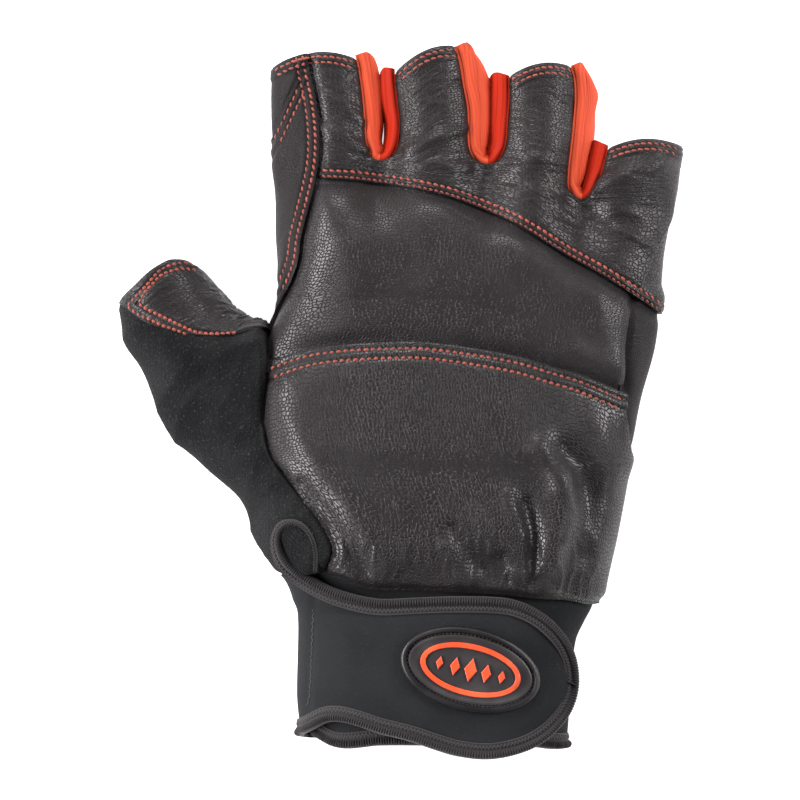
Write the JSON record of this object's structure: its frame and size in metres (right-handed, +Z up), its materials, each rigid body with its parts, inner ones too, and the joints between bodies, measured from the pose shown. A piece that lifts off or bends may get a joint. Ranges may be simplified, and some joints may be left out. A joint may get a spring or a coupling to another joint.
{
  "type": "climbing glove",
  "caption": "Half-finger leather glove for the left hand with a padded palm, stretch thumb, wrist cuff and closing strap, lying palm up.",
  "frame": {"origin": "middle of the glove's box, on the surface it lies on", "axes": "+Y towards the finger hems, +X towards the little finger, +Z up out of the palm"},
  "size_m": [0.1509, 0.1885, 0.0378],
  "materials": {
    "leather": "full-grain leather, satin, fine pebble grain",
    "pad_leather": "padded leather, satin, pebble grain",
    "back_fabric": "plain stretch knit, matt",
    "thumb_fabric": "brushed stretch fabric, matt",
    "orange_stretch": "coral orange stretch knit, ribbed edge, matt",
    "neoprene": "neoprene with a jersey face, matt",
    "binding": "ribbed knit binding, matt",
    "badge_rubber": "moulded rubber, satin",
    "badge_rim_rubber": "moulded rubber, glossy",
    "orange_rubber": "moulded rubber, satin"
  },
  "bodies": {
    "root": {"finger_panel": "leather", "palm_pad": "pad_leather", "heel_panel": "leather", "index_side_panel": "leather", "index_gusset": "leather", "outer_side_panel": "leather", "back_panel": "back_fabric", "thumb_panel": "thumb_fabric", "thumb_patch": "leather", "fourchette_index_middle": "orange_stretch", "fourchette_middle_ring": "orange_stretch", "fourchette_ring_pinky": "orange_stretch", "cuff": "neoprene", "cuff_binding": "binding", "strap": "neoprene", "strap_binding": "binding", "vent_binding": "binding", "badge": "badge_rubber", "badge_rim": "badge_rim_rubber", "badge_oval": "orange_rubber", "badge_diamond_1": "orange_rubber", "badge_diamond_2": "orange_rubber", "badge_diamond_3": "orange_rubber", "badge_diamond_4": "orange_rubber", "badge_diamond_5": "orange_rubber"}
  },
  "joints": []
}
